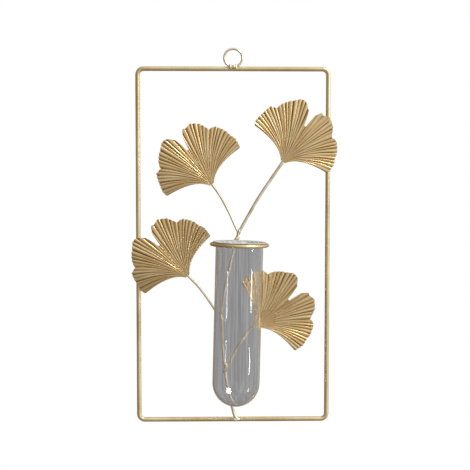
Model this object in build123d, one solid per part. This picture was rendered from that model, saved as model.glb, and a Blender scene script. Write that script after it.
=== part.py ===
from build123d import *
import os
from math import cos, radians, sin, sqrt, tan

# Hanging wall vase. A rod frame hangs on a small ring, and a branch of bent wires is
# brazed to the front of its bottom bar. The branch carries four stamped ginkgo leaves
# and a wire ring, in which a glass tube hangs by its flared lip.
# Millimetres. +X to the right, +Y to the wall, +Z up. The origin is the middle of the
# hang ring.

# Frame: one rod bent to a rounded rectangle, measured between the rod's centre lines
frame_width = 165.0
frame_height = 306.5
frame_wire = 4.0
frame_corner = 5.2

# Hang ring, whose middle stands hang_ring_rise above the top bar's centre line
hang_ring_outer = 17.5
hang_ring_wire = 2.0
hang_ring_rise = 9.0

# Branch: the main stem runs from the bottom bar to the upper right leaf
stem_wire = 2.6
twig_wire = 2.0
right_twig_wire = 3.0
bend_share = 0.45
stem_under_leaf = 4.0

# Holder ring
ring_wire = 3.0
ring_bore = 43.8
ring_across_share = 0.029
ring_down_share = 0.490
ring_lean = 1.4

# Glass tube, which rests on the holder ring by its lip
tube_outer = 40.0
tube_length = 140.0
tube_wall = 1.4
lip_outer = 45.2
lip_thickness = 1.1
rest_gap = 0.3

# Leaf: a fan of pressed ribs round a centre that lies leaf_neck above the neck's end
leaf_reach = 51.4
leaf_neck = 5.2
leaf_neck_width = 4.8
leaf_half_angle = 77.5
leaf_sheet = 0.8
heel_sheet = 1.1
heel_reach = 10.5
heel_root = 4.0
rib_count = 36
rib_height = 1.2
leaf_cup = 1.6

# Braze: beads of filler, which also fill the braze_gap between the pieces they join.
# At the foot, at a fork and round the end of a stem, a bead stands braze_proud out from
# the wire that it wets. At a fork it starts fork_bead_past the middle of the main stem,
# and under a leaf it runs heel_bead_past the stem's end. Where a leaf lies on a side bar,
# it fills bar_bead_proud in front of the bar.
braze_gap = 0.08
braze_proud = 0.6
bead_end_share = 0.4
fork_bead = 6.0
fork_bead_past = 1.6
heel_bead = 9.6
heel_bead_past = 2.0
foot_bead = 8.0
eye_bead = 8.6
eye_bead_width = 4.4
holder_bead = 10.0
holder_bead_width = 4.2
bar_bead = 7.0
bar_bead_width = 2.4
bar_bead_proud = 0.8

# The leaf's rim: (share of the half angle, share of the reach), left tip to right tip
rim_shares = [
    (-1.0, 0.765), (-0.93, 0.80), (-0.80, 0.828), (-0.645, 0.885), (-0.568, 0.828),
    (-0.49, 0.885), (-0.40, 0.925), (-0.31, 0.955), (-0.232, 1.0), (-0.168, 0.98),
    (-0.09, 0.86), (-0.039, 0.60), (0.0, 0.60), (0.026, 0.84), (0.077, 0.945),
    (0.129, 0.94), (0.187, 0.985), (0.31, 0.94), (0.426, 0.838), (0.516, 0.893),
    (0.671, 0.865), (0.748, 0.828), (0.852, 0.82), (1.0, 0.765),
]

# Places on the branch: (share of the frame's width to the right of its middle, share of
# its height down from the top bar)
foot_shares = (0.0100, 0.9985)
main_stem_shares = [
    (-0.0040, 0.9615), (-0.0275, 0.9190), (-0.0396, 0.8840), (-0.0456, 0.8608),
    (-0.0505, 0.8412), (-0.0587, 0.8117), (-0.0635, 0.7829), (-0.0655, 0.7400),
    (-0.0676, 0.7080), (-0.0654, 0.6680), (-0.0535, 0.6250), (-0.0292, 0.5737),
    (-0.0059, 0.5250), (0.0165, 0.4840), (0.0305, 0.4600), (0.0555, 0.4355),
    (0.0850, 0.4075), (0.1330, 0.3620), (0.1960, 0.3120),
]
upper_left_stem_shares = [
    (0.0305, 0.4600), (0.0215, 0.4560), (0.0130, 0.4465), (-0.0130, 0.4140),
    (-0.0440, 0.3810), (-0.0745, 0.3520),
]
left_stem_shares = [
    (-0.0676, 0.7080), (-0.0960, 0.6820), (-0.1375, 0.6475), (-0.1890, 0.6110),
]
right_stem_shares = [
    (-0.0474, 0.8536), (-0.0257, 0.8401), (0.0027, 0.8110), (0.0263, 0.7883),
    (0.0620, 0.7590), (0.0861, 0.7435),
]

# The main stem's turn along the bottom bar, from its end to where it rises, as shares of
# foot_bead to the right of and above the foot
foot_turn_shares = [(0.443, 0.0), (0.103, 0.172), (-0.103, 0.575)]

# Each leaf's fan centre as such a place, the way that it points, in degrees from +X
# towards +Z, and its roll about its own axis, which lays one side back to the wall
leaf_places = {
    "leaf_upper_left": (-0.1297, 0.3104, 123.5, 0.0),
    "leaf_upper_right": (0.2781, 0.2470, 57.0, 2.3),
    "leaf_left": (-0.2609, 0.5714, 131.6, -1.7),
    "leaf_right": (0.1493, 0.7166, 38.0, 0.0),
}

# Where the main stem is brazed to the holder ring, on its own centre line
holder_bead_share = (0.0171, 0.4830)

# How far down the side bars the two outer leaves are brazed to them
bar_bead_shares = {"leaf_upper_right": 0.2495, "leaf_left": 0.5786}

# Sizes that follow from those above
hang_ring_radius = (hang_ring_outer - hang_ring_wire) / 2
ring_radius = (ring_bore + ring_wire) / 2
top_bar_z = -hang_ring_rise
lap = hang_ring_rise - hang_ring_radius
frame_y = sqrt(((frame_wire + hang_ring_wire) / 2 + braze_gap) ** 2 - lap ** 2)
stem_y = frame_y - (frame_wire + stem_wire) / 2 - braze_gap
ring_y = stem_y - (stem_wire + ring_wire) / 2 - braze_gap - ring_radius


def on_frame(across_share, down_share, y=0.0):
    """The point at these shares of the frame's width and height, at depth y."""
    return Vector(across_share * frame_width, y, top_bar_z - down_share * frame_height)


def bent_wire(points, diameter):
    """A round wire along straight runs joined by arcs as large as the runs allow."""
    runs = [end - start for start, end in zip(points, points[1:])]
    radii = []
    for run, following in zip(runs, runs[1:]):
        half_turn = radians(run.get_angle(following)) / 2
        radii.append(bend_share * min(run.length, following.length) / tan(half_turn))
    path = FilletPolyline(*points, radius=radii)
    section = Plane(path @ 0, z_dir=path % 0) * Circle(diameter / 2)
    return sweep(section, path)


def wire_ring(radius, diameter):
    """A closed ring of round wire about the Z axis."""
    return Torus(radius, diameter / 2)


def braze(centre, along, length, width, *wetted):
    """A barrel of filler about centre, less the pieces that it wets."""
    end = bead_end_share * width / 2
    belly = ThreePointArc((end, -length / 2), (width / 2, 0), (end, length / 2))
    ends = Polyline((end, length / 2), (0, length / 2), (0, -length / 2), (end, -length / 2))
    barrel = revolve(Plane.XZ * make_face([belly, ends]), Axis.Z)
    bead = Plane(centre, z_dir=along) * barrel
    for name in wetted:
        bead = bead - nodes[name]
    return bead


def frame_rod():
    corners = [
        Vector(across * frame_width / 2, frame_y, top_bar_z - down * frame_height)
        for across, down in ((-1, 1), (1, 1), (1, 0), (-1, 0))
    ]
    path = FilletPolyline(*corners, radius=frame_corner, close=True)
    section = Plane(path @ 0, z_dir=path % 0) * Circle(frame_wire / 2)
    return sweep(section, path)


def rim_reach(angle_share):
    """The leaf's reach on the ray at this share of the half angle."""
    for (start, low), (end, high) in zip(rim_shares, rim_shares[1:]):
        if angle_share <= end:
            between = (angle_share - start) / (end - start)
            return leaf_reach * (low + (high - low) * between)
    return leaf_reach * rim_shares[-1][1]


def leaf_height(distance, crest):
    """How far the sheet stands forward at this distance: its rib, less the cup."""
    outward = max(distance - heel_reach, 0) / (leaf_reach - heel_reach)
    return crest * outward * rib_height / 2 - leaf_cup * outward ** 2


def leaf_ray(index):
    """The sheet's section along one ray, on a crest where index is odd."""
    angle_share = index / rib_count - 1
    crest = 1 if index % 2 else -1
    reach = rim_reach(angle_share)
    distances = [heel_root, heel_reach, (heel_reach + reach) / 2, reach]
    heights = [leaf_height(distance, crest) for distance in distances]
    front = [(d, h + leaf_sheet / 2) for d, h in zip(distances, heights)]
    back = [(d, h - leaf_sheet / 2) for d, h in zip(distances, heights)]
    angle = radians(90 - angle_share * leaf_half_angle)
    ray = Vector(cos(angle), sin(angle))
    plane = Plane((0, 0, 0), x_dir=ray, z_dir=ray.cross(Vector(0, 0, 1)))
    return plane * make_face(Polyline(*front, *reversed(back), close=True))


def leaf_heel():
    """The plain heel, from the neck's end to where the ribs start."""
    half_angle = radians(leaf_half_angle)
    neck = (leaf_neck_width / 2, -leaf_neck)
    waist = (leaf_neck_width, -leaf_neck / 4)
    shoulder = (heel_reach * sin(half_angle), heel_reach * cos(half_angle))
    side = ThreePointArc(neck, waist, shoulder)
    top = ThreePointArc(shoulder, (0, heel_reach), (-shoulder[0], shoulder[1]))
    outline = [side, top, mirror(side, Plane.YZ), Line(neck, (-neck[0], neck[1]))]
    return extrude(make_face(outline), heel_sheet / 2, both=True)


def leaf_blade():
    """A leaf about its fan centre, pointing along +Y with its front to +Z."""
    rays = [leaf_ray(index) for index in range(2 * rib_count + 1)]
    return loft(rays, ruled=True) + leaf_heel()


def leaf_place(name, wire):
    """Where a leaf sits: its heel against the front of the wire that carries it."""
    across_share, down_share, heading, roll = leaf_places[name]
    turn = radians(heading)
    heel_y = stem_y - (wire + heel_sheet) / 2 - braze_gap
    origin = on_frame(across_share, down_share, heel_y)
    plane = Plane(origin, x_dir=(sin(turn), 0, -cos(turn)), z_dir=(0, -1, 0))
    return plane.location * Rot(0, roll, 0)


def stem_end(name):
    """The last two points of a stem: the leaf's neck, and its end under the heel."""
    across_share, down_share, heading, _ = leaf_places[name]
    outward = Vector(cos(radians(heading)), 0, sin(radians(heading)))
    centre = on_frame(across_share, down_share, stem_y)
    return [centre - outward * leaf_neck, centre + outward * stem_under_leaf]


def stem(points, leaf_name, diameter):
    return bent_wire(points + stem_end(leaf_name), diameter)


def glass():
    """The tube about the Z axis, with the holder ring's centre plane at zero."""
    outer = tube_outer / 2
    bore = outer - tube_wall
    edge = lip_thickness / 2
    edge_r = lip_outer / 2 - edge
    edge_z = sqrt((ring_wire / 2 + rest_gap + edge) ** 2 - (ring_radius - edge_r) ** 2)
    top = edge_z + edge
    floor = top - tube_length
    flare_out = edge_r - outer
    flare_in = edge_r - bore
    outer_arc_z = edge_z - edge - flare_out
    inner_arc_z = top - flare_in
    ball_z = floor + outer
    slant = sqrt(0.5)
    profile = [
        ThreePointArc((0, floor), (outer * slant, ball_z - outer * slant), (outer, ball_z)),
        Line((outer, ball_z), (outer, outer_arc_z)),
        ThreePointArc(
            (outer, outer_arc_z),
            (edge_r - flare_out * slant, outer_arc_z + flare_out * slant),
            (edge_r, outer_arc_z + flare_out),
        ),
        ThreePointArc((edge_r, edge_z - edge), (edge_r + edge, edge_z), (edge_r, top)),
        ThreePointArc(
            (edge_r, top),
            (edge_r - flare_in * slant, inner_arc_z + flare_in * slant),
            (bore, inner_arc_z),
        ),
        Line((bore, inner_arc_z), (bore, ball_z)),
        ThreePointArc((bore, ball_z), (bore * slant, ball_z - bore * slant), (0, ball_z - bore)),
        Line((0, ball_z - bore), (0, floor)),
    ]
    return revolve(Plane.XZ * make_face(profile), Axis.Z)


nodes = {}

# Frame and hang ring
nodes["frame_wire"] = frame_rod()
nodes["hang_ring"] = Plane.XZ * wire_ring(hang_ring_radius, hang_ring_wire)

# Stems, each twig cut where it meets the main stem
foot = on_frame(*foot_shares, stem_y)
foot_turn = [foot + Vector(across, 0, up) * foot_bead for across, up in foot_turn_shares]
rise = [on_frame(*place, stem_y) for place in main_stem_shares]
nodes["main_stem"] = stem(foot_turn + rise, "leaf_upper_right", stem_wire)
twigs = {
    "upper_left_stem": (upper_left_stem_shares, "leaf_upper_left", twig_wire),
    "left_stem": (left_stem_shares, "leaf_left", twig_wire),
    "right_stem": (right_stem_shares, "leaf_right", right_twig_wire),
}
for name, (shares, leaf_name, wire) in twigs.items():
    points = [on_frame(*place, stem_y) for place in shares]
    nodes[name] = stem(points, leaf_name, wire) - nodes["main_stem"]

# Leaves, each on the wire that carries it
carriers = {"leaf_upper_right": ("main_stem", stem_wire)}
for name, (_, leaf_name, wire) in twigs.items():
    carriers[leaf_name] = (name, wire)
blade = leaf_blade()
for name, (_, wire) in carriers.items():
    nodes[name] = leaf_place(name, wire) * blade

# Holder ring and glass tube, leaning together
ring_centre = on_frame(ring_across_share, ring_down_share, ring_y)
ring_place = Pos(*ring_centre) * Rot(0, ring_lean, 0)
nodes["holder_ring"] = ring_place * wire_ring(ring_radius, ring_wire)
nodes["glass_tube"] = ring_place * glass()

# Braze round the bottom of the hang ring and round the foot
along_bar = Vector(1, 0, 0)
eye_foot = Vector(0, 0, -hang_ring_radius)
nodes["hang_ring_weld"] = braze(
    eye_foot, along_bar, eye_bead, eye_bead_width, "hang_ring", "frame_wire"
)
foot_bead_width = stem_wire + 2 * braze_proud
nodes["foot_weld"] = braze(
    foot, along_bar, foot_bead, foot_bead_width, "main_stem", "frame_wire"
)

# Braze behind the holder ring, along the run of the main stem that passes there
behind_ring = on_frame(*holder_bead_share, stem_y)
upper_fork = on_frame(*upper_left_stem_shares[0], stem_y)
nodes["holder_ring_weld"] = braze(
    behind_ring, upper_fork - behind_ring, holder_bead, holder_bead_width,
    "main_stem", "holder_ring",
)

# Braze at each fork, along the twig that starts there
forks = {
    "upper_fork_weld": "upper_left_stem",
    "left_fork_weld": "left_stem",
    "lower_fork_weld": "right_stem",
}
for name, twig in forks.items():
    shares, _, wire = twigs[twig]
    start, following = [on_frame(*place, stem_y) for place in shares[:2]]
    along = (following - start).normalized()
    middle = start + along * (fork_bead / 2 - fork_bead_past)
    width = max(stem_wire, wire) + 2 * braze_proud
    nodes[name] = braze(middle, along, fork_bead, width, "main_stem", twig)

# Braze behind each leaf's heel, round the end of its stem
for name, (across_share, down_share, heading, _) in leaf_places.items():
    carrier, wire = carriers[name]
    outward = Vector(cos(radians(heading)), 0, sin(radians(heading)))
    fan_centre = on_frame(across_share, down_share, stem_y)
    middle = fan_centre + outward * (stem_under_leaf + heel_bead_past - heel_bead / 2)
    width = wire + 2 * braze_proud
    nodes[name + "_weld"] = braze(middle, outward, heel_bead, width, carrier, name)

# Braze where the two outer leaves lie on the side bars
for name, down_share in bar_bead_shares.items():
    side_share = 0.5 if leaf_places[name][0] > 0 else -0.5
    depth = frame_y - frame_wire / 2 + bar_bead_width / 2 - bar_bead_proud
    nodes[name + "_bar_weld"] = braze(
        on_frame(side_share, down_share, depth),
        (0, 0, 1), bar_bead, bar_bead_width, "frame_wire", name,
    )

os.makedirs("parts", exist_ok=True)
for name, piece in nodes.items():
    piece.label = name
    export_step(piece, f"parts/{name}.step")
    print(name, len(piece.solids()), round(piece.volume, 1), piece.is_valid)
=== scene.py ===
from math import cos, pi, radians, sin, sqrt

import bpy
from mathutils import Matrix, Vector, noise


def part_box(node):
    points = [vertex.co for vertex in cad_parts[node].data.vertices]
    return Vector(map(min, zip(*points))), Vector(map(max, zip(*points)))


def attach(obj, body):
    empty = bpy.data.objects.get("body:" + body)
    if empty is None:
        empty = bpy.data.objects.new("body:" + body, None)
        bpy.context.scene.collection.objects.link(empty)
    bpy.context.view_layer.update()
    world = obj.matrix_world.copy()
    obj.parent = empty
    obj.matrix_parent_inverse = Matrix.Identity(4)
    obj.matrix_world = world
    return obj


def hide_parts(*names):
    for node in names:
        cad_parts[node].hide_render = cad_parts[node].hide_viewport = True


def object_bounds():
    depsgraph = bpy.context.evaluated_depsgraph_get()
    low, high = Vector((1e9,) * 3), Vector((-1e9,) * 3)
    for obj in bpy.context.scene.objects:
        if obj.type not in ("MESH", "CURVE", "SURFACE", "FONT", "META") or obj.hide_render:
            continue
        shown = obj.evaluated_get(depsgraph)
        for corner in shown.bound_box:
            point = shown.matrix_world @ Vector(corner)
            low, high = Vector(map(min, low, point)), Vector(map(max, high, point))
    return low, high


# Hanging wall vase, in metres: +X to the right, +Y to the wall, +Z up, with the origin in
# the middle of the hang ring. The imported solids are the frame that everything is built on.
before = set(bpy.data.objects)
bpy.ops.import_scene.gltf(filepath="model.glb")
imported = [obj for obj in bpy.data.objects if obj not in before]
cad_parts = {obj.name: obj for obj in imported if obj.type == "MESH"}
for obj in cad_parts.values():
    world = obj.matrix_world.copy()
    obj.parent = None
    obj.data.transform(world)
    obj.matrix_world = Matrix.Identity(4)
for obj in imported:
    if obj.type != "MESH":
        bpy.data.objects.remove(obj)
solid_low, solid_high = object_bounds()

# Wires
# The frame rod, the hang ring, the branch and the holder ring are round steel wire, bent by
# hand and brazed. All of it then got one coat of antique gold, in paler and darker cloudy
# patches. The hang ring, the twigs and the stems have paler copies of that coat: painted light
# for the brighter light on them.
wire_grain = 0.0006
wire_relief = 0.00006

# Most of a noise texture's values lie between these two
noise_reach = (0.3, 0.7)

# For each coat, its name, its deep and its pale gold, the size of its patches, its roughness
# where it is deep and where it is pale, and the wires that have it
wire_coats = [
    (
        "wire_gold", (0.600, 0.440, 0.210, 1), (0.870, 0.735, 0.455, 1), 0.05, (0.32, 0.20),
        ["frame_wire", "holder_ring"],
    ),
    # A paler copy of the coat: painted light for the hang ring and the twigs, which catch much
    # light
    (
        "bright_gold", (0.700, 0.590, 0.370, 1), (0.940, 0.880, 0.720, 1), 0.008, (0.22, 0.12),
        ["hang_ring", "upper_left_stem", "left_stem"],
    ),
    # A paler copy again: painted light for the stems, which stand dimly lit behind the glass
    (
        "stem_gold", (0.660, 0.530, 0.310, 1), (0.980, 0.920, 0.760, 1), 0.008, (0.26, 0.14),
        ["main_stem", "right_stem"],
    ),
]


def new_material(name):
    """A material, with its node tree and its surface."""
    material = bpy.data.materials.new(name)
    material.use_nodes = True
    tree = material.node_tree
    return material, tree, tree.nodes["Principled BSDF"]


def add_node(tree, kind, inputs=(), **settings):
    """A node with these settings and these values on its inputs."""
    node = tree.nodes.new("ShaderNode" + kind)
    for name, value in settings.items():
        setattr(node, name, value)
    for name, value in dict(inputs).items():
        node.inputs[name].default_value = value
    return node


def add_noise(tree, place, scale, detail, roughness=0.5):
    """Noise over place."""
    node = add_node(tree, "TexNoise", {"Scale": scale, "Detail": detail, "Roughness": roughness})
    tree.links.new(place, node.inputs["Vector"])
    return node.outputs["Fac"]


def add_ramp(tree, source, stops):
    """A colour ramp on source, with stops of (place, colour)."""
    node = tree.nodes.new("ShaderNodeValToRGB")
    ramp = node.color_ramp
    for _ in stops[2:]:
        ramp.elements.new(1.0)
    for element, (place, colour) in zip(ramp.elements, stops):
        element.position = place
        element.color = colour
    tree.links.new(source, node.inputs["Fac"])
    return node.outputs["Color"]


def add_range(tree, source, old, new):
    """The source, mapped from the range old to the range new."""
    ends = {"From Min": old[0], "From Max": old[1], "To Min": new[0], "To Max": new[1]}
    node = add_node(tree, "MapRange", ends)
    tree.links.new(source, node.inputs["Value"])
    return node.outputs["Result"]


def add_relief(tree, surface, source, depth):
    """A bump of this depth on the surface, from source."""
    bump = add_node(tree, "Bump", {"Distance": depth, "Strength": 1.0})
    tree.links.new(source, bump.inputs["Height"])
    tree.links.new(bump.outputs["Normal"], surface.inputs["Normal"])


def gold_coat(name, deep, pale, patch, gloss, grain, relief):
    """Antique gold: cloudy patches from deep to pale, and a fine grain in the coat."""
    material, tree, surface = new_material(name)
    surface.inputs["Metallic"].default_value = 1.0
    place = add_node(tree, "TexCoord").outputs["Object"]
    clouds = add_noise(tree, place, 1 / patch, detail=4.0, roughness=0.6)
    specks = add_noise(tree, place, 1 / grain, detail=3.0)
    colour = add_ramp(tree, clouds, [(0.32, deep), (0.68, pale)])
    tree.links.new(colour, surface.inputs["Base Color"])
    tree.links.new(add_range(tree, clouds, noise_reach, gloss), surface.inputs["Roughness"])
    add_relief(tree, surface, specks, relief)
    return material


def coat_solid(name, material):
    """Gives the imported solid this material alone."""
    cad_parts[name].data.materials.clear()
    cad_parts[name].data.materials.append(material)


for name, deep, pale, patch, gloss, coated in wire_coats:
    gold = gold_coat(name, deep, pale, patch, gloss, wire_grain, wire_relief)
    for wire in coated:
        coat_solid(wire, gold)

# Leaves
# Four ginkgo leaves stamped with one die from thin steel sheet. Rounded ribs fan out from a
# plain heel to a scalloped rim that is cut with one deep notch and two shallow ones. Each
# leaf is brazed by its heel to the front of its stem and has the same gold coat.
leaf_reach = 0.0514
leaf_neck = 0.0052
leaf_neck_width = 0.0046
leaf_half_angle = radians(78.5)
waist_half_angle = radians(57)
waist_reach = 0.0119
leaf_sheet = 0.0008
rib_count = 36
rib_height_share = 0.25
rib_roundness = 0.50
rib_start_share = 0.04
rib_drift = 0.022
drift_rate = 9
rib_waver = 0.9
waver_rate = 3
merge_shares = (0.55, 0.30)
merge_fade = 0.12
rays_per_rib = 8
leaf_stations = 32
leaf_cup = 0.0016
scallop = 0.0007
heel_depth = 0.00063
stem_wire = 0.0026
twig_wire = 0.0020
right_wire = 0.0030
# From the deep to the pale gold: the grooves are painted deep as shade and the crests pale as
# highlight
leaf_deep = (0.290, 0.180, 0.052, 1)
leaf_mid = (0.560, 0.368, 0.145, 1)
leaf_pale = (0.790, 0.635, 0.390, 1)
leaf_patch_scale = 90.0
leaf_gloss = (0.34, 0.22)
leaf_relief = 0.00003
brush_stretch = (240.0, 7.0, 1.0)
streak_stretch = (64.0, 2.0, 1.0)
streak_share = 0.35
cloud_share = 0.25
# Share of the rib height in the colour: painted shade in the grooves, painted highlight on the
# crests
groove_shade_share = 0.40

# The rim, as (share of the half angle, share of the reach) from the left tip to the right
rim_shares = [
    (-1.0, 0.755), (-0.93, 0.80), (-0.80, 0.828), (-0.645, 0.885), (-0.568, 0.828),
    (-0.49, 0.885), (-0.40, 0.925), (-0.31, 0.955), (-0.232, 1.0), (-0.168, 0.98),
    (-0.09, 0.86), (-0.039, 0.60), (0.0, 0.60), (0.026, 0.84), (0.077, 0.945),
    (0.129, 0.94), (0.187, 0.985), (0.31, 0.94), (0.426, 0.838), (0.516, 0.893),
    (0.671, 0.865), (0.748, 0.828), (0.852, 0.82), (1.0, 0.755),
]

# Each leaf's fan centre, as shares of the frame's width and height from the middle of the
# top bar, then its heading and its roll in degrees, and the wire that carries it
leaf_places = {
    "leaf_upper_left": (-0.1297, 0.3104, 123.5, 0.0, twig_wire),
    "leaf_upper_right": (0.2781, 0.2470, 57.0, 2.3, stem_wire),
    "leaf_left": (-0.2609, 0.5714, 131.6, -1.7, twig_wire),
    "leaf_right": (0.1493, 0.7166, 38.0, 0.0, right_wire),
}
bar_low, bar_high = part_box("frame_wire")
stem_low, stem_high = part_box("main_stem")
bar_radius = (bar_high.y - bar_low.y) / 2
frame_width = bar_high.x - bar_low.x - 2 * bar_radius
frame_height = bar_high.z - bar_low.z - 2 * bar_radius
stem_y = (stem_low.y + stem_high.y) / 2


def on_frame(across_share, down_share, y):
    """The point at these shares of the frame's width and height, at depth y."""
    top_bar = bar_high.z - bar_radius
    return Vector((across_share * frame_width, y, top_bar - down_share * frame_height))


def merged_by(merge_share, out):
    """How far the ribs that merge at merge_share have merged at out, from 0 to 1."""
    return min(max((merge_share - out) / merge_fade, 0), 1)


def rib_crest(across, out=1.0):
    """How high the ribs stand, from 0 to 1: towards the heel they merge by twos, then fours."""
    across += rib_drift * noise.noise(Vector((across * drift_rate, 0, 0)))
    single, double, fourfold = [
        abs(sin(pi * rib_count / together * (across + 1) / 2)) ** rib_roundness
        for together in (1, 2, 4)
    ]
    outer = single + (double - single) * merged_by(merge_shares[0], out)
    return outer + (fourfold - outer) * merged_by(merge_shares[1], out)


def rim_reach(across):
    """The leaf's reach on the ray at this share of the half angle."""
    for (start, low), (end, high) in zip(rim_shares, rim_shares[1:]):
        if across <= end:
            between = (across - start) / (end - start)
            return leaf_reach * (low + (high - low) * between)
    return leaf_reach * rim_shares[-1][1]


def leaf_point(across, out, variation):
    """The sheet's middle at these shares across the fan and out along the vein."""
    neck = Vector((across * leaf_neck_width / 2, -leaf_neck))
    waist_angle = across * waist_half_angle
    waist = waist_reach * Vector((sin(waist_angle), cos(waist_angle)))
    rim_angle = across * leaf_half_angle
    reach = rim_reach(across) - scallop * (1 - rib_crest(across))
    rim = reach * Vector((sin(rim_angle), cos(rim_angle)))
    flat = neck * (1 - out) ** 2 + waist * 2 * out * (1 - out) + rim * out ** 2
    outward = flat.length / leaf_reach
    spread = leaf_neck_width / 2 * (1 - out) ** 2
    spread += waist_reach * waist_half_angle * 2 * out * (1 - out)
    spread += reach * leaf_half_angle * out ** 2
    merging = 1 + merged_by(merge_shares[0], out)
    rib_height = rib_height_share * spread * 2 / rib_count * merging
    grown = min(out / rib_start_share, 1)
    waver = noise.noise(Vector((across * rib_count / 2, out * waver_rate, variation)))
    rib = rib_height * grown * (rib_crest(across, out) - 0.5) * (1 + rib_waver * waver)
    point = flat.to_3d()
    point.z = rib - leaf_cup * outward ** 2
    return point


def stamped_leaf(name, variation):
    """A leaf about its fan centre, pointing along +Y with its front to +Z."""
    bpy.ops.object.select_all(action="DESELECT")
    bpy.ops.mesh.primitive_grid_add(
        x_subdivisions=rib_count * rays_per_rib, y_subdivisions=leaf_stations, size=2
    )
    leaf = bpy.context.object
    leaf.name = name
    crest = leaf.data.attributes.new("rib_crest", "FLOAT", "POINT")
    for vertex in leaf.data.vertices:
        across = vertex.co.x
        out = (vertex.co.y + 1) / 2
        crest.data[vertex.index].value = rib_crest(across, out)
        vertex.co = leaf_point(across, out, variation)
    bpy.ops.object.mode_set(mode="EDIT")
    bpy.ops.mesh.select_all(action="SELECT")
    bpy.ops.transform.translate(value=(0, 0, leaf_sheet / 2))
    bpy.ops.mesh.extrude_region_move(TRANSFORM_OT_translate={"value": (0, 0, -leaf_sheet)})
    bpy.ops.mesh.select_all(action="SELECT")
    bpy.ops.mesh.normals_make_consistent(inside=False)
    bpy.ops.object.mode_set(mode="OBJECT")
    bpy.ops.object.shade_smooth_by_angle(angle=radians(60))
    return leaf


def add_stretch(tree, place, stretch):
    """The place, multiplied by stretch on each axis."""
    node = add_node(tree, "Mapping", {"Scale": stretch})
    tree.links.new(place, node.inputs["Vector"])
    return node.outputs["Vector"]


def add_share(tree, source, share, rest):
    """This share of source, added to rest."""
    node = add_node(tree, "Math", {1: share}, operation="MULTIPLY_ADD")
    tree.links.new(source, node.inputs[0])
    tree.links.new(rest, node.inputs[2])
    return node.outputs["Value"]


def leaf_gold():
    """The gold coat on a leaf: painted shade in the grooves and a painted highlight along the
    ribs, over random paler and darker clouds and streaks.
    """
    material, tree, surface = new_material("leaf_gold")
    surface.inputs["Metallic"].default_value = 1.0
    crest = add_node(tree, "Attribute", attribute_name="rib_crest").outputs["Fac"]
    place = add_node(tree, "TexCoord")
    brushed = add_stretch(tree, place.outputs["UV"], brush_stretch)
    brushing = add_noise(tree, brushed, 1.0, detail=3.0)
    streaked = add_stretch(tree, place.outputs["UV"], streak_stretch)
    streaks = add_noise(tree, streaked, 1.0, detail=2.0)
    clouds = add_noise(
        tree, place.outputs["Object"], leaf_patch_scale, detail=4.0, roughness=0.6
    )
    streaky = add_range(tree, streaks, noise_reach, (0.0, streak_share))
    cloudy = add_share(tree, clouds, cloud_share, streaky)
    # The rib height paints shade into the grooves and a highlight onto the crests; the clouds and
    # streaks are the coat's own uneven tone
    wear_and_groove_shade = add_share(tree, crest, groove_shade_share, cloudy)
    colour = add_ramp(tree, wear_and_groove_shade, [(0.15, leaf_deep), (0.5, leaf_mid), (0.85, leaf_pale)])
    tree.links.new(colour, surface.inputs["Base Color"])
    tree.links.new(add_range(tree, clouds, noise_reach, leaf_gloss), surface.inputs["Roughness"])
    add_relief(tree, surface, brushing, leaf_relief)
    return material


gold_leaf = leaf_gold()
for variation, (name, spot) in enumerate(leaf_places.items()):
    across_share, down_share, heading, roll, wire = spot
    leaf = stamped_leaf(name + "_blade", variation)
    turn = radians(heading)
    outward = Vector((cos(turn), 0, sin(turn)))
    side = Vector((sin(turn), 0, -cos(turn)))
    facing = Matrix((side, outward, (0, -1, 0))).transposed().to_4x4()
    heel = on_frame(across_share, down_share, stem_y - wire / 2 - heel_depth)
    rolled = Matrix.Rotation(radians(roll), 4, "Y")
    leaf.data.transform(Matrix.Translation(heel) @ facing @ rolled)
    leaf.data.materials.append(gold_leaf)
    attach(leaf, "root")
    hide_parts(name)

# Braze beads
# Where a wire or a leaf is joined, a small lump of brass filler was melted round it and left
# as it set, then coated with the rest.
bead_deep = (0.60, 0.46, 0.24, 1)
bead_pale = (0.96, 0.88, 0.68, 1)
bead_patch = 0.003
bead_gloss = (0.36, 0.22)
bead_grain = 0.0005
bead_relief = 0.00008
lump_swell = 0.16
swell_rate = 1.6
swell_step = 5
ring_foot = Vector((0, 0, -0.00775))
bead_gold = gold_coat(
    "bead_gold", bead_deep, bead_pale, bead_patch, bead_gloss, bead_grain, bead_relief
)
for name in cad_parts:
    if name.endswith("_weld"):
        coat_solid(name, bead_gold)

# The lumps seen from the front: for each its joint, then its drops as (middle, end, radius),
# with the middle and the end counted from the joint
lumps = {
    "upper_fork_weld": (
        on_frame(0.0305, 0.4600, stem_y),
        [((0, 0, 0), (0.0012, 0, 0.0034), 0.0016)],
    ),
    "left_fork_weld": (
        on_frame(-0.0676, 0.7080, stem_y),
        [
            ((0, 0, 0), (-0.0014, 0, 0.0030), 0.0016),
            ((-0.0010, -0.0003, 0.0024), (-0.0020, -0.0003, 0.0046), 0.0014),
        ],
    ),
    "lower_fork_weld": (
        on_frame(-0.0474, 0.8536, stem_y),
        [
            ((0, 0, 0), (0.0018, 0, 0.0028), 0.0017),
            ((0.0006, -0.0004, 0.0036), (0.0013, -0.0004, 0.0062), 0.0018),
        ],
    ),
    "holder_ring_weld": (
        on_frame(0.0171, 0.4830, stem_y),
        [((0, 0, 0), (0.0022, 0, 0.0046), 0.0020)],
    ),
    "foot_weld": (
        on_frame(0.0100, 0.9985, stem_y),
        [
            ((0, 0, 0), (0.0034, 0, 0), 0.0017),
            ((-0.0026, 0, -0.0004), (-0.0040, 0, -0.0004), 0.0012),
        ],
    ),
    "hang_ring_weld": (
        ring_foot,
        [
            ((0, 0, 0), (0.0034, 0, 0), 0.0015),
            ((-0.0026, 0, 0.0002), (-0.0030, 0, 0.0024), 0.0016),
            ((0.0022, -0.0002, 0), (0.0028, -0.0002, -0.0022), 0.0013),
        ],
    ),
}


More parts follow.
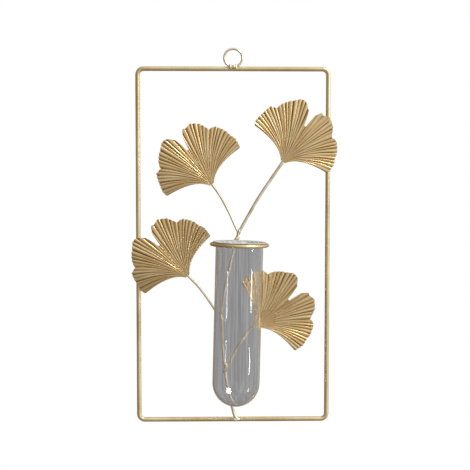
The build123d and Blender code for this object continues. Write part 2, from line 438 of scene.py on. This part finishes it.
def braze_lump(name, joint, drops):
    """Drops of filler run together, each an uneven ellipsoid."""
    pieces = []
    for number, (start, stop, radius) in enumerate(drops):
        bpy.ops.mesh.primitive_uv_sphere_add(segments=32, ring_count=20, radius=1)
        drop = bpy.context.object
        middle, end = joint + Vector(start), joint + Vector(stop)
        along = end - middle
        seed = Vector((number * swell_step, len(name), 0))
        for vertex in drop.data.vertices:
            vertex.co *= 1 + lump_swell * noise.noise(vertex.co * swell_rate + seed)
        stretch = Matrix.Diagonal((radius, radius, along.length, 1))
        turn = along.to_track_quat("Z", "Y").to_matrix().to_4x4()
        drop.data.transform(Matrix.Translation(middle) @ turn @ stretch)
        pieces.append(drop)
    bpy.ops.object.select_all(action="DESELECT")
    for piece in pieces:
        piece.select_set(True)
    bpy.context.view_layer.objects.active = pieces[0]
    bpy.ops.object.join()
    lump = bpy.context.object
    lump.name = name
    bpy.ops.object.shade_smooth()
    return lump


for name, (joint, drops) in lumps.items():
    lump = braze_lump(name.replace("_weld", "_lump"), joint, drops)
    lump.data.materials.append(bead_gold)
    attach(lump, "root")
    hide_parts(name)

# Glass tube
# A length of clear borosilicate tube: its bottom is blown round, and its mouth is flared and
# fire polished to the lip that hangs on the holder ring.
tube_radius = 0.020
tube_wall = 0.0014
tube_length = 0.140
lip_radius = 0.0226
lip_thickness = 0.0011
ring_lean = radians(1.4)
tube_sides = 128
arc_steps = 12
ring_low, ring_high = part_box("holder_ring")
ring_centre = (ring_low + ring_high) / 2
ring_wire = 0.0030
ring_radius = (ring_high.y - ring_low.y - ring_wire) / 2
rest_gap = 0.0003
glass_ior = 1.46
ripple_scale = 520.0
ripple_stretch = (1.0, 1.0, 0.03)
ripple_relief = 0.000006
ripple_tint = (0.790, 0.805, 0.830, 1)
clear_tint = (1.0, 1.0, 1.0, 1)
# The lip's colours are a painted reflection, and the seat's colours painted shade, on the thick
# glass lip
lip_reflection_deep = (0.34, 0.33, 0.31, 1)
lip_reflection_pale = (0.54, 0.52, 0.49, 1)
seat_shade_deep = (0.10, 0.08, 0.05, 1)
seat_shade_pale = (0.20, 0.16, 0.10, 1)
lip_patch_scale = 140.0
lip_gloss = (0.20, 0.35)
# Lip faces that look up less than this are painted dark as shade from the ring
shaded_seat_slope = 0.1


def arc(centre_radius, centre_height, size, start, end):
    """Stations round an arc, from the angle start to end in degrees."""
    steps = [radians(start + (end - start) * step / arc_steps) for step in range(arc_steps + 1)]
    return [(centre_radius + size * cos(a), centre_height + size * sin(a)) for a in steps]


def glass_stations():
    """Radius and height up the outside, over the lip and down the bore, from the ring's plane."""
    bore = tube_radius - tube_wall
    edge = lip_thickness / 2
    edge_radius = lip_radius - edge
    seat = ring_wire / 2 + rest_gap + edge
    edge_height = sqrt(seat ** 2 - (ring_radius - edge_radius) ** 2)
    top = edge_height + edge
    ball = top - tube_length + tube_radius
    flare_out = edge_radius - tube_radius
    flare_in = edge_radius - bore
    outside = arc(0, ball, tube_radius, -90, 0)
    outside += arc(edge_radius, edge_height - edge - flare_out, flare_out, 180, 90)
    lip = arc(edge_radius, edge_height, edge, -90, 90)
    inside = arc(edge_radius, top - flare_in, flare_in, 90, 180)
    inside += arc(0, ball, bore, 0, -90)
    return outside + lip[1:] + inside[1:]


def turned(name, stations):
    """A closed shell about the Z axis, extruded ring by ring through the stations."""
    bpy.ops.object.select_all(action="DESELECT")
    (first_radius, first_height), *following = stations[1:-1]
    bpy.ops.mesh.primitive_circle_add(
        vertices=tube_sides, radius=first_radius, fill_type="TRIFAN",
        location=(0, 0, first_height),
    )
    shell = bpy.context.object
    shell.name = name
    bpy.ops.object.transform_apply(location=True, rotation=True, scale=True)
    bpy.ops.object.mode_set(mode="EDIT")
    bpy.ops.mesh.select_mode(type="EDGE")
    bpy.ops.mesh.select_all(action="DESELECT")
    bpy.ops.mesh.select_non_manifold()
    radius, height = first_radius, first_height
    for next_radius, next_height in following:
        rise = next_height - height
        bpy.ops.mesh.extrude_region_move(TRANSFORM_OT_translate={"value": (0, 0, rise)})
        spread = next_radius / radius
        bpy.ops.transform.resize(value=(spread, spread, 1))
        radius, height = next_radius, next_height
    bpy.ops.mesh.merge(type="CENTER")
    bpy.ops.mesh.select_all(action="SELECT")
    bpy.ops.mesh.remove_doubles(threshold=0.000001)
    bpy.ops.mesh.normals_make_consistent(inside=False)
    bpy.ops.object.mode_set(mode="OBJECT")
    bpy.ops.object.shade_smooth()
    return shell


def clear_glass():
    """Clear glass, with the faint long ripples that drawing leaves in a tube."""
    material, tree, surface = new_material("clear_glass")
    surface.inputs["Transmission Weight"].default_value = 1.0
    surface.inputs["Roughness"].default_value = 0.02
    surface.inputs["IOR"].default_value = glass_ior
    place = add_node(tree, "TexCoord").outputs["Object"]
    drawn = add_stretch(tree, place, ripple_stretch)
    ripples = add_noise(tree, drawn, ripple_scale, detail=2.0)
    tint = add_ramp(tree, ripples, [(0.44, ripple_tint), (0.56, clear_tint)])
    tree.links.new(tint, surface.inputs["Base Color"])
    add_relief(tree, surface, ripples, ripple_relief)
    return material


def painted_lip_glass(name, deep, pale):
    """Fire-polished glass at the lip, drawn opaque and coloured from deep to pale: painted
    reflection and shade stand in for what the thick, curved glass mirrors and bends.
    """
    material, tree, surface = new_material(name)
    surface.inputs["IOR"].default_value = glass_ior
    place = add_node(tree, "TexCoord").outputs["Object"]
    uneven = add_noise(tree, place, lip_patch_scale, detail=2.0)
    tint = add_ramp(tree, uneven, [(0.35, deep), (0.65, pale)])
    tree.links.new(tint, surface.inputs["Base Color"])
    tree.links.new(add_range(tree, uneven, (0.0, 1.0), lip_gloss), surface.inputs["Roughness"])
    return material


# The lip's colour is painted light: painted shade from the ring that it sits on where it faces
# down or sideways, and a painted reflection of the room where it faces up
tube = turned("glass_vial", glass_stations())
tube.data.materials.append(clear_glass())
tube.data.materials.append(painted_lip_glass("lip_painted_reflection", lip_reflection_deep, lip_reflection_pale))
tube.data.materials.append(painted_lip_glass("seat_painted_shade", seat_shade_deep, seat_shade_pale))
for face in tube.data.polygons:
    if face.center.z > 0:
        face.material_index = 2 if face.normal.z < shaded_seat_slope else 1
tube.data.transform(Matrix.Translation(ring_centre) @ Matrix.Rotation(ring_lean, 4, "Y"))
tube.visible_shadow = False
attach(tube, "tube")
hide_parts("glass_tube")

# Stage
# A pale round floor below the hanging piece, and soft studio light from the upper right.
# The windows and the glints light the glass alone, and draw its streaks, star and dot.
floor_drop = 0.75
floor_radius = 1.1
floor_glow = 0.8
window_light = 80
glint_light = 75
glint_distance = 0.4
bpy.ops.object.select_all(action="DESELECT")
bpy.ops.mesh.primitive_circle_add(
    vertices=96, radius=floor_radius, fill_type="NGON", location=(0, 0, -floor_drop)
)
floor = bpy.context.object
floor.name = "floor"
floor_paint, _, floor_surface = new_material("floor_paint")
floor_surface.inputs["Base Color"].default_value = (0.9, 0.9, 0.9, 1)
floor_surface.inputs["Roughness"].default_value = 0.9
floor_surface.inputs["Emission Color"].default_value = (1, 1, 1, 1)
floor_surface.inputs["Emission Strength"].default_value = floor_glow
floor.visible_transmission = False
floor.visible_glossy = False
floor.data.materials.append(floor_paint)
glass_only = bpy.data.collections.new("glass_only")
glass_only.objects.link(tube)


def add_lamp(name, place, target, wide, tall, watts, lit=None):
    """A soft lamp at place, facing target, on everything or on the collection lit."""
    light = bpy.data.lights.new(name, "AREA")
    light.shape = "RECTANGLE"
    light.size = wide
    light.size_y = tall
    light.energy = watts
    lamp = bpy.data.objects.new(name, light)
    lamp.light_linking.receiver_collection = lit
    bpy.context.scene.collection.objects.link(lamp)
    lamp.location = place
    lamp.rotation_euler = (Vector(target) - Vector(place)).to_track_quat("-Z", "Y").to_euler()
    lamp.visible_camera = False
    lamp.visible_transmission = False


vase_middle = (0, 0, (solid_low.z + solid_high.z) / 2)
add_lamp("key", (0.74, -0.50, 0.80), vase_middle, wide=0.32, tall=0.32, watts=7)
add_lamp("side", (1.14, -0.50, 0.20), vase_middle, wide=0.3, tall=0.5, watts=2)

# The windows, as (name, step along X and Y from the holder ring, height, width, tallness)
left_step = (-0.663, -0.447)
right_step = (0.719, -0.351)
windows = [
    ("left_window", left_step, -0.325, 0.042, 0.082),
    ("left_low_window", left_step, -0.420, 0.030, 0.040),
    ("right_top_window", right_step, -0.283, 0.080, 0.004),
    ("right_window", right_step, -0.352, 0.080, 0.072),
    ("right_low_window", right_step, -0.470, 0.070, 0.048),
]
for name, (step_x, step_y), height, wide, tall in windows:
    place = (ring_centre.x + step_x, ring_centre.y + step_y, height)
    aim = (ring_centre.x, ring_centre.y, height)
    add_lamp(name, place, aim, wide, tall, window_light * wide * tall, glass_only)

# The glints, as (name, direction from the middle of the round bottom, width, tallness)
ball_middle = ring_centre - Vector((0, 0, tube_length - tube_radius))
glints = [
    ("left_glint", (-0.555, -0.708, -0.450), 0.16, 0.16),
    ("right_glint", (0.805, -0.425, -0.410), 0.05, 0.06),
]
for name, direction, wide, tall in glints:
    place = ball_middle + glint_distance * Vector(direction)
    add_lamp(name, place, ball_middle, wide, tall, glint_light * wide * tall, glass_only)

# Surroundings: white to the camera, grey straight through the glass, and for the metal, also
# behind the glass, a studio that is bright to the upper right and dim to the lower left
bright_way = (0.75, -0.30, 0.58)
studio_stops = [
    (0.0, (0.22, 0.19, 0.16, 1)), (0.40, (0.38, 0.345, 0.30, 1)),
    (0.58, (0.47, 0.45, 0.43, 1)), (0.72, (0.80, 0.80, 0.80, 1)),
    (1.0, (1.2, 1.2, 1.2, 1)),
]
backdrop_grey = (0.326, 0.320, 0.318, 1)
world = bpy.data.worlds.new("studio")
bpy.context.scene.world = world
world.use_nodes = True
sky = world.node_tree
sky.nodes.clear()
way = add_node(sky, "TexCoord").outputs["Generated"]
lit_side = add_node(sky, "VectorMath", {1: bright_way}, operation="DOT_PRODUCT")
sky.links.new(way, lit_side.inputs[0])
brightness = add_range(sky, lit_side.outputs["Value"], (-1.0, 1.0), (0.0, 1.0))
studio = add_node(sky, "Background", {"Strength": 1.0})
sky.links.new(add_ramp(sky, brightness, studio_stops), studio.inputs["Color"])
behind_glass = add_node(sky, "Background", {"Color": backdrop_grey})
backdrop = add_node(sky, "Background", {"Color": (1, 1, 1, 1)})

# The grey is for the rays that pass through the glass without first being mirrored
ray = add_node(sky, "LightPath")
unmirrored = add_node(sky, "Math", {1: 0.5}, operation="LESS_THAN")
sky.links.new(ray.outputs["Glossy Depth"], unmirrored.inputs[0])
straight = add_node(sky, "Math", operation="MULTIPLY")
sky.links.new(ray.outputs["Is Transmission Ray"], straight.inputs[0])
sky.links.new(unmirrored.outputs["Value"], straight.inputs[1])
through = add_node(sky, "MixShader")
sky.links.new(straight.outputs["Value"], through.inputs["Fac"])
sky.links.new(studio.outputs["Background"], through.inputs[1])
sky.links.new(behind_glass.outputs["Background"], through.inputs[2])
seen = add_node(sky, "MixShader")
sky.links.new(ray.outputs["Is Camera Ray"], seen.inputs["Fac"])
sky.links.new(through.outputs["Shader"], seen.inputs[1])
sky.links.new(backdrop.outputs["Background"], seen.inputs[2])
sky_output = sky.nodes.new("ShaderNodeOutputWorld")
sky.links.new(seen.outputs["Shader"], sky_output.inputs["Surface"])
bpy.context.scene.view_settings.view_transform = "Standard"

# Camera
# It stands 0.8 m in front, a little left of the middle and a third of the way down.
camera_data = bpy.data.cameras.new("camera")
camera_data.lens = 71.37
camera_data.sensor_width = 36
camera = bpy.data.objects.new("camera", camera_data)
camera.location = (-0.01594, -0.8091, -0.10565)
camera.rotation_euler = (radians(86.681), radians(-0.04), radians(-1.240))
bpy.context.scene.collection.objects.link(camera)
bpy.context.scene.camera = camera
